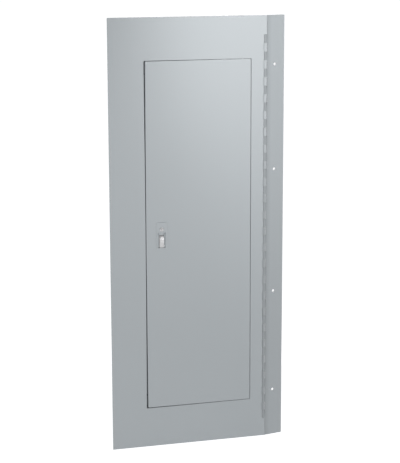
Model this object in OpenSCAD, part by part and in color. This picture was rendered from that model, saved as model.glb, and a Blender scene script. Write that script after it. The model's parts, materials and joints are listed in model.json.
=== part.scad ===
// Hinged front cover of a flush panelboard: a flat trim panel with a flush door,
// hung by a continuous hinge on a narrow screw-on mounting strip.
// Millimetres. +Z up, the trim's front faces -Y, +X towards the mounting strip.
// The origin is on the strip's back face, on the line of its screw holes, at mid height.

/* [Cover] */
// Height of the trim panel and the mounting strip
cover_h = 1308.1; // [1300:0.1:1320]
// Width across the trim panel and the strip when they lie flat
cover_w = 546.1; // [540:0.1:560]
// Thickness of the trim and strip sheet
sheet_t = 1.9; // [1.8:0.1:2]
// Angle by which the strip lies folded back behind the trim's plane
fold_back = 12; // [0:1:14]

/* [Mounting strip] */
// Width of the mounting strip
strip_w = 59; // [55:1:62]
// Gap between the trim and the strip above and below the hinge
seam_gap = 1.5; // [1.4:0.1:1.8]
// Diameter of the four screw holes
strip_hole_d = 7.94; // [6:0.01:9]
// Distance of the hole line from the seam
strip_hole_in = 27.4; // [24:0.1:32]
// Distance of the outer pair of holes from mid height
strip_hole_outer = 508; // [480:1:520]
// Distance of the inner pair of holes from mid height
strip_hole_inner = 190.5; // [180:0.5:200]

/* [Continuous hinge] */
// Length of one rolled knuckle
knuckle_l = 25.4; // [25:0.1:26]
// Number of knuckles, odd so that both ends belong to the strip
knuckles = 47; // [45:2:47]
// Outer diameter of the barrel
barrel_d = 8; // [7.8:0.1:8.2]
// Diameter of the long hinge pin
pin_d = 3; // [2.5:0.1:3.2]
// Distance of the pin's centre from the seam
pin_in = 4.5; // [4.4:0.1:4.6]
// Distance of the pin's centre behind the trim's front
pin_back = 1.9; // [1.8:0.1:2.2]

/* [Door] */
// Width of the opening in the trim
opening_w = 330.2; // [320:0.1:331]
// Height of the opening in the trim
opening_h = 1060.5; // [1056:0.1:1066]
// Distance from the opening's right side to the seam
opening_right = 48; // [48:0.1:52]
// Height of the opening's lower side above the trim's lower edge
opening_bottom = 121.8; // [120:0.1:124]
// Gap beside the door on the latch side
gap_latch = 3; // [2.5:0.1:3.5]
// Gap beside the door on the hinge side
gap_hinge = 1.6; // [1.6:0.1:2]
// Gap above and below the door
gap_end = 2; // [1.5:0.1:3]
// Thickness of the door sheet
door_t = 1.5; // [1.4:0.1:1.6]
// Depth of the door's return flanges
door_flange = 10; // [9:0.1:10]
// Corner radius of the door
door_r = 2.5; // [1.6:0.1:4]

/* [Door frame] */
// Thickness of the frame channels behind the opening
frame_t = 1.2; // [1:0.1:1.5]
// Distance from the trim's front to the front of the channels' ledges
ledge_front = 13; // [13:0.1:13.4]
// Reach of the latch side's ledge into the opening
ledge_latch = 23; // [22:1:24]
// Reach of the upper and lower ledges into the opening
ledge_end = 12; // [8:1:14]
// Width of the channels' welding flanges
weld_flange = 17; // [12:1:20]
// Depth of the hinge side's channel
hinge_channel_d = 24; // [23.5:0.5:26]

/* [Door hinges] */
// Distance of the door's pivot line from its right edge
pivot_in = 16; // [15.5:0.1:16.5]
// Distance of the pivot line behind the trim's front
pivot_back = 6; // [5.8:0.1:6.2]
// Length of each concealed hinge
pivot_hinge_l = 60; // [56:1:70]
// Distance of the outer hinges' centres from the door's ends
pivot_hinge_end = 120; // [90:1:200]

/* [Latch] */
// Distance of the latch's centre line from the door's left edge
latch_in = 47; // [46:0.5:48]
// Height of the latch's centre above mid height
latch_up = 4; // [0:1:10]
// Width of the latch's front plate
latch_w = 34; // [32:1:36]
// Height of the latch's front plate
latch_h = 82; // [82:1:84]
// Swing of the pull
pull_swing = 30; // [25:1:32]
// Travel of the latch bolt
bolt_travel = 9.5; // [9:0.5:10]
// Length of the lock's cam from its centre to its tip
cam_l = 36; // [34:1:38]

/* [Trim clamps] */
// Distance of the two clamps from mid height
clamp_offset = 414; // [300:1:450]
// Length of a clamp's strap from the screw's centre to its tip
pawl_l = 88; // [60:1:95]

/* [Directory] */
// Width of the directory card
card_w = 150; // [120:1:170]
// Height of the directory card
card_h = 225; // [180:1:250]

/* [Hidden] */
$fn = 48;
eps = 0.01;

// Clearances
pin_clear = 0.05;
knuckle_clear = 0.15;
barrel_clear = 0.7;
turn_clear = 0.3;

// Working frame: the seam is x = 0, the trim's front y = 0, its lower edge z = 0
mid_z = cover_h / 2;
strip_left = seam_gap / 2;
strip_right = strip_left + strip_w;
trim_left = strip_right - cover_w;
trim_right = -seam_gap / 2;

// Continuous hinge
pin_x = -pin_in;
pin_y = pin_back;
barrel_r = barrel_d / 2;
pin_r = pin_d / 2;
notch_x = pin_x - barrel_r - barrel_clear;
hinge_l = knuckles * knuckle_l;
hinge_z = mid_z - hinge_l / 2;

// Origin of the part, in the working frame
datum = [
    pin_x + (strip_hole_in + pin_in) * cos(fold_back) - (sheet_t - pin_y) * sin(fold_back),
    pin_y + (strip_hole_in + pin_in) * sin(fold_back) + (sheet_t - pin_y) * cos(fold_back),
    mid_z
];

// Opening and door
open_r = -opening_right;
open_l = open_r - opening_w;
open_b = opening_bottom;
open_t = open_b + opening_h;
door_l = open_l + gap_latch;
door_rt = open_r - gap_hinge;
door_b = open_b + gap_end;
door_tp = open_t - gap_end;

// Frame channels
frame_gap = 7;
ledge_back = ledge_front + frame_t;
web_l = open_l - frame_gap;
web_r = open_r + frame_gap - frame_t;
web_b = open_b - frame_gap + frame_t;
web_t = open_t + frame_gap - frame_t;
ledge_edge = open_l + ledge_latch;
hinge_lip = 9;

// Concealed door hinges
pivot_x = door_rt - pivot_in;
pivot_y = pivot_back;
pivot_r = 4;
pivot_pin_r = 2;
bracket_t = 2.4;
bracket_h = pivot_hinge_l - 20;
bracket_left = 15;
lug_t = 2;
lug_reach = 34;
ledge_stop = pivot_x - 9;
pivot_z = [door_tp - pivot_hinge_end, mid_z, door_b + pivot_hinge_end];

// Latch
latch_x = door_l + latch_in;
latch_z = mid_z + latch_up;
latch_lip = 0.8;
latch_body_w = 28;
latch_body_h = 78;
latch_body_d = 10.5;
cup_w = 25;
cup_b = latch_z - 36.5;
cup_h = 48;
cup_d = 9;
cup_r = 3;

// Lock
lock_z = latch_z + 19.5;
lock_r = 6.3;
lock_front = -1.3;
lock_back = 15.6;
plug_r = 4.5;
plug_tail = 6.4;
cam_y = 16.2;
cam_t = 2;
cam_w = 13;
nut_af = 17;

// Pull, hinged near its lower end, with a ball-ended lever behind it
pull_z = cup_b + 5.5;
pull_y = 4.6;
pull_w = 14.6;
pull_top = 35;
pull_bottom = -3.4;
pull_bow_r = 100;
pull_front = 0.7;
pull_t = 1.6;
pull_pin_r = 1.5;
pull_barrel_r = 2.6;
ball_r = 2.5;
lever_w = 4;
lever_t = 3;
lever_droop = pull_swing / 2;
bolt_t = 2.4;
bolt_y = 15.9;
lever_l = (bolt_y + bolt_t / 2 - pull_y) / cos(lever_droop);
ball_drop = lever_l * sin(lever_droop);

// Bolt and its guides
bolt_h = 18;
bolt_tip = ledge_edge - 8.5;
bolt_tail = latch_x + 22;
bolt_nose = 12;
guide_t = 1.6;
guide_h = 32;
guide_foot = 14;
guide_back = 20.5;
guide_clear = 0.4;
strike_w = 17;
strike_h = 80;
strike_t = 1.2;

// Clamps
clamp_x = ledge_edge - 9;
clamp_z = [mid_z + clamp_offset, mid_z - clamp_offset];
clamp_r = 3;
clamp_head_r = 6;
clamp_hex_af = 9.6;
clamp_end = 31;
pawl_y = 22;
pawl_t = 3;
pawl_w = 14;

// Directory holder
card_x = pivot_x - 90 - card_w;
card_z = mid_z + 110;
card_t = 0.4;
window_t = 0.8;
rail_w = 5;
rail_lip = 4;

// Puts the working frame's solids at the part's own origin
module placed() {
    translate(-datum) children();
}

// Turns the strip back about the hinge pin
module folded() {
    placed()
        translate([pin_x, pin_y, 0])
            rotate([0, 0, fold_back])
                translate([-pin_x, -pin_y, 0])
                    children();
}

// Extrudes an outline drawn in x and z from depth y over the thickness t
module sheet(y, t) {
    translate([0, y + t, 0])
        rotate([90, 0, 0])
            linear_extrude(t)
                children();
}

// Rectangle from a lower left corner, with round corners
module round_rect(x, z, w, h, r) {
    translate([x + r, z]) square([w - 2 * r, h]);
    translate([x, z + r]) square([w, h - 2 * r]);
    for (cx = [x + r, x + w - r], cz = [z + r, z + h - r])
        translate([cx, cz]) circle(r);
}

// Cylinder along y, from depth y over the length l
module along_y(x, y, z, r, l, sides = $fn) {
    translate([x, y, z])
        rotate([-90, 0, 0])
            cylinder(h = l, r = r, $fn = sides);
}

// Cylinder along x
module along_x(x, y, z, r, l) {
    translate([x, y, z])
        rotate([0, 90, 0])
            cylinder(h = l, r = r);
}

// The strip's knuckles are the even ones, the trim's the odd ones
function knuckle_z(i) = hinge_z + i * knuckle_l;

// A row of knuckles, flattened in front so that they are flush with their sheet
module knuckle_row(first) {
    difference() {
        for (i = [first : 2 : knuckles - 1])
            translate([pin_x, pin_y, knuckle_z(i) + knuckle_clear])
                cylinder(h = knuckle_l - 2 * knuckle_clear, r = barrel_r);
        translate([pin_x - barrel_d, -barrel_d, 0]) cube([2 * barrel_d, barrel_d, cover_h]);
    }
}

module pin_bore() {
    translate([pin_x, pin_y, hinge_z - 1])
        cylinder(h = hinge_l + 2, r = pin_r + pin_clear);
}

module mounting_strip() {
    color("lightgray")
    folded()
        difference() {
            union() {
                sheet(0, sheet_t) {
                    translate([strip_left, 0]) square([strip_w, cover_h]);
                    for (i = [0 : 2 : knuckles - 1])
                        translate([pin_x, knuckle_z(i) + knuckle_clear])
                            square([strip_left - pin_x + eps, knuckle_l - 2 * knuckle_clear]);
                }
                knuckle_row(0);
            }
            pin_bore();
            for (up = [-strip_hole_outer, -strip_hole_inner, strip_hole_inner, strip_hole_outer])
                along_y(strip_hole_in, -1, mid_z + up, strip_hole_d / 2, sheet_t + 2);
        }
}

module hinge_pin() {
    pin_end = 0.4;
    color("silver")
    placed()
        translate([pin_x, pin_y, hinge_z + pin_end])
            cylinder(h = hinge_l - 2 * pin_end, r = pin_r);
}

module trim_panel() {
    color("lightgray")
    placed()
        difference() {
            union() {
                sheet(0, sheet_t)
                    difference() {
                        translate([trim_left, 0]) square([trim_right - trim_left, cover_h]);
                        round_rect(open_l, open_b, opening_w, opening_h, door_r + gap_end / 2);
                        translate([pin_x, hinge_z - knuckle_clear])
                            square([pin_in, hinge_l + 2 * knuckle_clear]);
                        for (i = [0 : 2 : knuckles - 1])
                            translate([notch_x, knuckle_z(i) - knuckle_clear])
                                square([-notch_x, knuckle_l + 2 * knuckle_clear]);
                    }
                knuckle_row(1);
            }
            pin_bore();
        }
}

// Z-shaped channel with a weld flange, a web and a ledge that stops the door
module latch_side_channel() {
    color("gainsboro")
    placed()
        translate([0, 0, web_b])
            difference() {
                linear_extrude(web_t - web_b) {
                    translate([web_l - weld_flange, sheet_t]) square([weld_flange + frame_t, frame_t]);
                    translate([web_l, sheet_t]) square([frame_t, ledge_back - sheet_t]);
                    translate([web_l, ledge_front]) square([ledge_edge - web_l, frame_t]);
                }
                for (z = clamp_z)
                    along_y(clamp_x, ledge_front - 1, z - web_b,
                            clamp_r + turn_clear, frame_t + 2);
            }
}

module hinge_side_channel() {
    color("gainsboro")
    placed()
        translate([0, 0, open_b - frame_gap])
            linear_extrude(opening_h + 2 * frame_gap) {
                translate([web_r, sheet_t]) square([weld_flange + frame_t, frame_t]);
                translate([web_r, sheet_t]) square([frame_t, hinge_channel_d - sheet_t]);
                translate([web_r - hinge_lip, hinge_channel_d - frame_t])
                    square([hinge_lip + frame_t, frame_t]);
            }
}

// Upper or lower channel; side is 1 above the opening and -1 below it. Its ledge carries on to
// the hinge side as a narrow strip that shades the gap and stays clear of the turning door.
module end_channel(web_z, side) {
    web_x = web_l + frame_t;
    web_len = web_r - web_x;
    inner_z = side > 0 ? open_t - ledge_end : web_z;
    outer_z = side > 0 ? web_z : web_z - weld_flange;
    ledge_h = side > 0 ? web_z + frame_t - inner_z : open_b + ledge_end - web_z;
    shade_z = side > 0 ? open_t - gap_end + turn_clear : web_z;
    shade_h = side > 0 ? web_z + frame_t - shade_z : door_b - turn_clear - web_z;
    color("gainsboro")
    placed() {
        translate([web_x, sheet_t, web_z]) cube([web_len, ledge_back - sheet_t, frame_t]);
        translate([web_x, sheet_t, outer_z]) cube([web_len, frame_t, weld_flange + frame_t]);
        translate([ledge_edge, ledge_front, inner_z])
            cube([ledge_stop - ledge_edge, frame_t, ledge_h]);
        translate([ledge_stop, ledge_front, shade_z])
            cube([web_r - ledge_stop, frame_t, shade_h]);
    }
}

module upper_channel() {
    end_channel(web_t, 1);
}

module lower_channel() {
    end_channel(web_b - frame_t, -1);
}

module strike_plate() {
    color("silver")
    placed()
        sheet(ledge_back, strike_t)
            round_rect(ledge_edge - strike_w, mid_z - strike_h / 2 + latch_up, strike_w, strike_h, 2);
}

module door_bumpers() {
    bumper_r = 4;
    bumper_t = ledge_front - door_flange - turn_clear;
    color("dimgray")
    placed()
        for (z = [open_b + 40, open_t - 40, mid_z - 110, mid_z + 110])
            along_y(door_l + bumper_r, ledge_front - bumper_t, z, bumper_r, bumper_t);
}

// Gooseneck arm from the hinge side channel's lip round the door's flange to the pivot
module hinge_bracket(z) {
    back = hinge_channel_d;
    left = pivot_x - bracket_left;
    color("darkgray")
    placed()
        translate([0, 0, z - bracket_h / 2])
            difference() {
                linear_extrude(bracket_h)
                    union() {
                        translate([left, back]) square([web_r + frame_t - left, bracket_t]);
                        translate([left, pivot_y - bracket_t / 2])
                            square([bracket_t, back + bracket_t - pivot_y]);
                        translate([left, pivot_y - bracket_t / 2])
                            square([bracket_left, bracket_t]);
                        translate([pivot_x, pivot_y]) circle(pivot_r);
                    }
                translate([pivot_x, pivot_y, -1])
                    cylinder(h = bracket_h + 2, r = pivot_pin_r + pin_clear);
            }
}

module upper_hinge_bracket() {
    hinge_bracket(pivot_z[0]);
}

module middle_hinge_bracket() {
    hinge_bracket(pivot_z[1]);
}

module lower_hinge_bracket() {
    hinge_bracket(pivot_z[2]);
}

// Leaf on the door's inner face with a knuckle above and below the bracket
module hinge_lug(z) {
    knuckle = (pivot_hinge_l - bracket_h) / 2 - turn_clear;
    color("darkgray")
    placed()
        translate([0, 0, z - pivot_hinge_l / 2])
            difference() {
                union() {
                    translate([pivot_x - lug_reach, door_t, 0])
                        cube([lug_reach, lug_t, pivot_hinge_l]);
                    for (low = [0, pivot_hinge_l - knuckle])
                        translate([pivot_x, pivot_y, low])
                            cylinder(h = knuckle, r = pivot_r);
                }
                translate([pivot_x - pivot_r - 2, door_t - 1, knuckle])
                    cube([pivot_r + 3, lug_t + 2, pivot_hinge_l - 2 * knuckle]);
                translate([pivot_x, pivot_y, -1])
                    cylinder(h = pivot_hinge_l + 2, r = pivot_pin_r + pin_clear);
            }
}

module upper_hinge_lug() {
    hinge_lug(pivot_z[0]);
}

module middle_hinge_lug() {
    hinge_lug(pivot_z[1]);
}

module lower_hinge_lug() {
    hinge_lug(pivot_z[2]);
}

// Headed pin
module pivot_pin(z) {
    head_t = 1.5;
    color("silver")
    placed()
        translate([pivot_x, pivot_y, z - pivot_hinge_l / 2]) {
            cylinder(h = pivot_hinge_l + head_t, r = pivot_pin_r);
            translate([0, 0, pivot_hinge_l]) cylinder(h = head_t, r = pivot_pin_r + 1);
        }
}

module upper_pivot_pin() {
    pivot_pin(pivot_z[0]);
}

module middle_pivot_pin() {
    pivot_pin(pivot_z[1]);
}

module lower_pivot_pin() {
    pivot_pin(pivot_z[2]);
}

// Slotted hex washer head screw, turned from the front when the door is open
module clamp_screw(z) {
    washer_t = 1.2;
    head_t = 3.2;
    slot = 1.2;
    head_y = ledge_front - turn_clear - washer_t - head_t;
    color("silver")
    placed()
        difference() {
            union() {
                along_y(clamp_x, head_y + head_t, z, clamp_head_r, washer_t);
                along_y(clamp_x, head_y, z, clamp_hex_af / sqrt(3), head_t + eps, 6);
                along_y(clamp_x, head_y + head_t, z, clamp_r, clamp_end - head_y - head_t);
            }
            translate([clamp_x - slot / 2, head_y - 1, z - clamp_head_r])
                cube([slot, 2.4, 2 * clamp_head_r]);
        }
}

module upper_clamp_screw() {
    clamp_screw(clamp_z[0]);
}

module lower_clamp_screw() {
    clamp_screw(clamp_z[1]);
}

// Long strap with a turned foot that swings behind the enclosure's flange
module clamp_pawl(z) {
    foot = 7;
    color("silver")
    placed()
        difference() {
            union() {
                sheet(pawl_y, pawl_t) {
                    translate([clamp_x, z]) circle(pawl_w / 2);
                    translate([clamp_x - pawl_l, z - pawl_w / 2]) square([pawl_l, pawl_w]);
                }
                translate([clamp_x - pawl_l, pawl_y - foot, z - pawl_w / 2])
                    cube([pawl_t, foot + eps, pawl_w]);
            }
            along_y(clamp_x, pawl_y - 1, z, clamp_r + 0.02, pawl_t + 2);
        }
}

module upper_clamp_pawl() {
    clamp_pawl(clamp_z[0]);
}

module lower_clamp_pawl() {
    clamp_pawl(clamp_z[1]);
}

module clamp_nut(z) {
    nut_t = 5;
    color("silver")
    placed()
        difference() {
            along_y(clamp_x, pawl_y + pawl_t, z, 10 / sqrt(3), nut_t, 6);
            along_y(clamp_x, pawl_y, z, clamp_r + 0.02, nut_t + 6);
        }
}

module upper_clamp_nut() {
    clamp_nut(clamp_z[0]);
}

module lower_clamp_nut() {
    clamp_nut(clamp_z[1]);
}

// Shallow pan: a flat face with a return flange on each side
module door_panel() {
    w = door_rt - door_l;
    h = door_tp - door_b;
    color("lightgray")
    placed()
        difference() {
            sheet(0, door_flange)
                round_rect(door_l, door_b, w, h, door_r);
            sheet(door_t, door_flange)
                round_rect(door_l + door_t, door_b + door_t, w - 2 * door_t, h - 2 * door_t,
                           door_r - door_t);
            translate([latch_x - latch_body_w / 2 - 0.2, -1, latch_z - latch_body_h / 2 - 0.2])
                cube([latch_body_w + 0.4, door_t + 2, latch_body_h + 0.4]);
        }
}

// Holder with two side rails and a lower rail, open at the top
module directory_frame() {
    x = card_x - rail_w;
    z = card_z - rail_w;
    w = card_w + 2 * rail_w;
    h = card_h + rail_w;
    color("whitesmoke")
    placed()
        difference() {
            translate([x, door_t, z]) cube([w, 3.4, h]);
            translate([card_x - 0.5, door_t + 0.4, card_z - 0.5]) cube([card_w + 1, 1.9, h]);
            translate([card_x + rail_lip, door_t + 2, card_z + rail_lip])
                cube([card_w - 2 * rail_lip, 4, h]);
        }
}

module directory_card() {
    color("ivory")
    placed()
        translate([card_x, door_t + 0.5, card_z]) cube([card_w, card_t, card_h - 3]);
}

module directory_window() {
    color("lightcyan")
    placed()
        translate([card_x, door_t + 1.2, card_z]) cube([card_w, window_t, card_h - 3]);
}

// Flush latch housing: front plate, lock boss and the finger recess round the pull
module latch_housing() {
    slot_h = 11;
    color("silver")
    placed()
        difference() {
            union() {
                sheet(-latch_lip, latch_lip)
                    round_rect(latch_x - latch_w / 2, latch_z - latch_h / 2, latch_w, latch_h, 3);
                translate([latch_x - latch_body_w / 2, -eps, latch_z - latch_body_h / 2])
                    cube([latch_body_w, latch_body_d + eps, latch_body_h]);
            }
            sheet(-latch_lip - 1, cup_d + latch_lip + 1)
                round_rect(latch_x - cup_w / 2, cup_b, cup_w, cup_h, cup_r);
            translate([latch_x - lever_w / 2 - 0.6, cup_d - 1, pull_z - slot_h / 2])
                cube([lever_w + 1.2, latch_body_d, slot_h]);
            along_y(latch_x, -3, lock_z, lock_r + 0.05, latch_body_d + 6);
            along_x(latch_x - latch_w, pull_y, pull_z, pull_pin_r + 0.02, 2 * latch_w);
        }
}

// Bridge that the lock nut pulls against the back of the door
module latch_retainer() {
    half_w = 19;
    height = 20;
    plate_y = latch_body_d + 0.1;
    plate_t = 1.5;
    color("silver")
    placed()
        translate([0, 0, lock_z - height / 2])
            difference() {
                union() {
                    translate([latch_x - half_w, plate_y, 0]) cube([2 * half_w, plate_t, height]);
                    for (x = [latch_x - half_w, latch_x + half_w - plate_t])
                        translate([x, door_t, 0]) cube([plate_t, plate_y + plate_t - door_t, height]);
                }
                along_y(latch_x, plate_y - 1, height / 2, lock_r + 0.1, plate_t + 2);
            }
}

module lock_cylinder() {
    color("silver")
    placed()
        difference() {
            along_y(latch_x, lock_front, lock_z, lock_r, lock_back - lock_front);
            along_y(latch_x, lock_front - 1, lock_z, plug_r + pin_clear, lock_back - lock_front + 2);
        }
}

module lock_nut() {
    nut_t = 2.8;
    nut_y = latch_body_d + 1.7;
    color("silver")
    placed()
        difference() {
            along_y(latch_x, nut_y, lock_z, nut_af / sqrt(3), nut_t, 6);
            along_y(latch_x, nut_y - 1, lock_z, lock_r + 0.02, nut_t + 2);
        }
}

// Keyed plug with a square tail for the cam
module lock_plug() {
    keyway_w = 1.6;
    keyway_h = 6;
    color("gainsboro")
    placed()
        difference() {
            union() {
                along_y(latch_x, lock_front, lock_z, plug_r, lock_back + 0.3 - lock_front);
                translate([latch_x - plug_tail / 2, lock_back, lock_z - plug_tail / 2])
                    cube([plug_tail, cam_y + cam_t - 0.1 - lock_back, plug_tail]);
            }
            translate([latch_x - keyway_w / 2, lock_front - 1, lock_z - keyway_h / 2])
                cube([keyway_w, 10, keyway_h]);
            along_y(latch_x, cam_y - 4, lock_z, 1.7, 12);
        }
}

// Cam, pointing up when unlocked
module lock_cam() {
    color("silver")
    placed()
        difference() {
            sheet(cam_y, cam_t) {
                translate([latch_x, lock_z]) circle(cam_w / 2);
                translate([latch_x - cam_w / 2, lock_z]) square([cam_w, cam_l]);
            }
            translate([latch_x - plug_tail / 2 - 0.05, cam_y - 1, lock_z - plug_tail / 2 - 0.05])
                cube([plug_tail + 0.1, cam_t + 2, plug_tail + 0.1]);
        }
}

module cam_screw() {
    head_t = 2;
    color("silver")
    placed()
        difference() {
            union() {
                along_y(latch_x, cam_y + cam_t, lock_z, 5, head_t);
                along_y(latch_x, cam_y - 3, lock_z, 1.65, cam_t + 3 + eps);
            }
            translate([latch_x - 4, cam_y + cam_t + 1, lock_z - 0.5]) cube([8, 2, 1]);
        }
}

// Bowed finger pull with its lever; the ball works in the bolt's slanting slot
module door_pull() {
    height = pull_top - pull_bottom;
    bow_z = pull_z + (pull_top + pull_bottom) / 2;
    bow_y = pull_front + pull_bow_r;
    color("gainsboro")
    placed()
        difference() {
            union() {
                intersection() {
                    difference() {
                        along_x(latch_x - pull_w / 2, bow_y, bow_z, pull_bow_r, pull_w, $fn = 96);
                        along_x(latch_x - pull_w, bow_y, bow_z, pull_bow_r - pull_t, 2 * pull_w,
                                $fn = 96);
                    }
                    translate([latch_x - pull_w / 2, 0, pull_z + pull_bottom])
                        cube([pull_w, 8, height]);
                }
                along_x(latch_x - 5, pull_y, pull_z, pull_barrel_r, 10);
                translate([latch_x, pull_y, pull_z])
                    rotate([-lever_droop, 0, 0]) {
                        translate([-lever_w / 2, 0, -lever_t / 2]) cube([lever_w, lever_l, lever_t]);
                        translate([0, lever_l, 0]) sphere(ball_r);
                    }
            }
            along_x(latch_x - pull_w, pull_y, pull_z, pull_pin_r + pin_clear, 2 * pull_w);
        }
}

module pull_pin() {
    color("silver")
    placed()
        along_x(latch_x - latch_body_w / 2 + 0.2, pull_y, pull_z, pull_pin_r, latch_body_w - 0.4);
}

// Torsion spring on the pull's pin: close coils and two legs
module pull_spring() {
    wire_r = 0.45;
    coil_r = 2.3;
    coils = 4;
    pitch = 2.2 * wire_r;
    first_x = latch_x + pull_w / 2 + turn_clear;
    coil_l = (coils - 1) * pitch + 1.6 * wire_r;
    color("gray")
    placed() {
        difference() {
            union() {
                along_x(first_x, pull_y, pull_z, coil_r + wire_r / 2, coil_l);
                for (i = [0 : coils - 1])
                    along_x(first_x + i * pitch, pull_y, pull_z, coil_r + wire_r, 1.6 * wire_r);
            }
            along_x(first_x - 1, pull_y, pull_z, coil_r - wire_r, coil_l + 2);
        }
        along_y(first_x + coil_l - wire_r, pull_y, pull_z - coil_r - wire_r / 3, wire_r,
                cup_d - pull_y - 0.05);
        translate([first_x + wire_r, pull_y + coil_r + wire_r / 3, pull_z])
            cylinder(h = 9, r = wire_r);
    }
}

// Sliding bolt with a bevelled nose and a slanting slot for the pull's ball
module latch_bolt() {
    slot_r = ball_r + 0.35;
    slot_low = [latch_x, pull_z - ball_drop];
    slot_run = norm([bolt_travel, 2 * ball_drop]);
    slot_tilt = atan2(2 * ball_drop, -bolt_travel);
    color("silver")
    placed()
        difference() {
            sheet(bolt_y, bolt_t) {
                translate([bolt_tip + bolt_nose, pull_z - bolt_h / 2])
                    square([bolt_tail - bolt_tip - bolt_nose, bolt_h]);
                translate([bolt_tip, pull_z - bolt_h / 2 + 2]) square([bolt_nose + eps, bolt_h - 4]);
            }
            sheet(bolt_y - 1, bolt_t + 2)
                translate(slot_low)
                    rotate(slot_tilt) {
                        circle(slot_r);
                        translate([0, -slot_r]) square([slot_run, 2 * slot_r]);
                        translate([slot_run, 0]) circle(slot_r);
                    }
            translate([bolt_tip, bolt_y + bolt_t, pull_z - bolt_h])
                rotate([0, 0, 45])
                    translate([-4, -1.4, 0]) cube([8, 4, 2 * bolt_h]);
        }
}

// Upright plate with a window for the bolt, on a foot welded to the door
module bolt_guide(x, foot_x) {
    color("silver")
    placed()
        translate([0, 0, pull_z - guide_h / 2])
            difference() {
                union() {
                    translate([x, door_t, 0]) cube([guide_t, guide_back - door_t, guide_h]);
                    translate([foot_x, door_t, 0]) cube([guide_foot, guide_t, guide_h]);
                }
                translate([x - 1, bolt_y - guide_clear, (guide_h - bolt_h) / 2 - guide_clear])
                    cube([guide_t + 2, bolt_t + 2 * guide_clear, bolt_h + 2 * guide_clear]);
            }
}

module bolt_guide_left() {
    x = latch_x - 21;
    bolt_guide(x, x + guide_t - guide_foot);
}

module bolt_guide_right() {
    x = latch_x + 17;
    bolt_guide(x, x);
}

mounting_strip();
hinge_pin();
trim_panel();
latch_side_channel();
hinge_side_channel();
upper_channel();
lower_channel();
strike_plate();
door_bumpers();
upper_hinge_bracket();
middle_hinge_bracket();
lower_hinge_bracket();
upper_hinge_lug();
middle_hinge_lug();
lower_hinge_lug();
upper_pivot_pin();
middle_pivot_pin();
lower_pivot_pin();
upper_clamp_screw();
lower_clamp_screw();
upper_clamp_pawl();
lower_clamp_pawl();
upper_clamp_nut();
lower_clamp_nut();
door_panel();
directory_frame();
directory_card();
directory_window();
latch_housing();
latch_retainer();
lock_cylinder();
lock_nut();
lock_plug();
lock_cam();
cam_screw();
door_pull();
pull_pin();
pull_spring();
latch_bolt();
bolt_guide_left();
bolt_guide_right();
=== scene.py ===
"""Looks for the hinged panelboard cover: enamelled sheets, flush latch and plated hardware.

Everything is in metres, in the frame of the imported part: +Z up, the front faces -Y.
"""

import json
import math

import bmesh
import bpy
from mathutils import Matrix, Vector


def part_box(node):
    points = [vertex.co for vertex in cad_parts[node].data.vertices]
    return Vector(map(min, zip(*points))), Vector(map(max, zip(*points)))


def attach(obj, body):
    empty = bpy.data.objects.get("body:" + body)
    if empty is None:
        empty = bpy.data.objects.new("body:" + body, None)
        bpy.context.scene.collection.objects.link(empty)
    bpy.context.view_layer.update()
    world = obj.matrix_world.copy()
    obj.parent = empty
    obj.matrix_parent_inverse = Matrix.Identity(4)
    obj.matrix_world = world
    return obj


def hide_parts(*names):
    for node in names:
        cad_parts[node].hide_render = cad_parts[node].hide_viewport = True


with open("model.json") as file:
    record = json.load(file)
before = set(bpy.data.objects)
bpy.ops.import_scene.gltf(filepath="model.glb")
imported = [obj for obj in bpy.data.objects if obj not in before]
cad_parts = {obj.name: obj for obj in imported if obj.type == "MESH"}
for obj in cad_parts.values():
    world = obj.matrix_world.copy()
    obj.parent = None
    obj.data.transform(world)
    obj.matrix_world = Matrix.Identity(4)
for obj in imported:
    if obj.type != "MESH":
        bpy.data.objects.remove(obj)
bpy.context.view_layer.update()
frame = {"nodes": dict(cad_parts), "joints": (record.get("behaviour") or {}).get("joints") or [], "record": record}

NODES = frame["nodes"]
JOINTS = {j["name"]: j for j in frame["joints"]}
MM = 0.001

# ---------------------------------------------------------------- sizes from the frame

TRIM_LO, TRIM_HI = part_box("trim_panel")
DOOR_LO, DOOR_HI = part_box("door_panel")
PIN = Vector(JOINTS["trim_hinge"]["pos_m"])
PIN_LO, PIN_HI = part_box("hinge_pin")
LOCK_LO, LOCK_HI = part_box("lock_cylinder")
HOUSING_LO, HOUSING_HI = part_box("latch_housing")
PULL_PIVOT = Vector(JOINTS["pull_tilt"]["pos_m"])
FRONT = TRIM_LO.y
BOTTOM, TOP = TRIM_LO.z, TRIM_HI.z

SHEET = 1.9 * MM
FOLD = math.radians(12)
PITCH = 25.4 * MM
BARREL_R = 4 * MM
KNUCKLE_GAP = 0.15 * MM
SEAM_X = PIN.x + 4.5 * MM
STRIP_W = 59.45 * MM
SEAM_HALF = 0.3 * MM
NOTCH_X = PIN.x - BARREL_R - 0.7 * MM
HOLE_X = SEAM_X + 27.4 * MM
HOLE_R = 3.97 * MM
HOLE_UP = (508 * MM, 190.5 * MM)
OPEN_R = DOOR_HI.x + 1.6 * MM
OPEN_L = DOOR_LO.x - 3 * MM
OPEN_B = DOOR_LO.z - 2 * MM
OPEN_T = DOOR_HI.z + 2 * MM
DOOR_SHEET = 1.5 * MM
DOOR_R = 2.5 * MM
DOOR_BEND = 1.3 * MM
DOOR_COLUMNS, DOOR_ROWS = 10, 32
CORNER_STEPS = 5
LATCH_HALF_W, LATCH_HALF_H = 14 * MM, 39 * MM
LOCK_Z = (LOCK_LO.z + LOCK_HI.z) / 2
LOCK_BORE_R = 6.35 * MM
PLUG_BORE_R = 4.55 * MM
CUP_HALF_W = 12.5 * MM
CUP_DEPTH = 9 * MM
SHARP_ANGLE = math.radians(35)


# ---------------------------------------------------------------- materials

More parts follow.
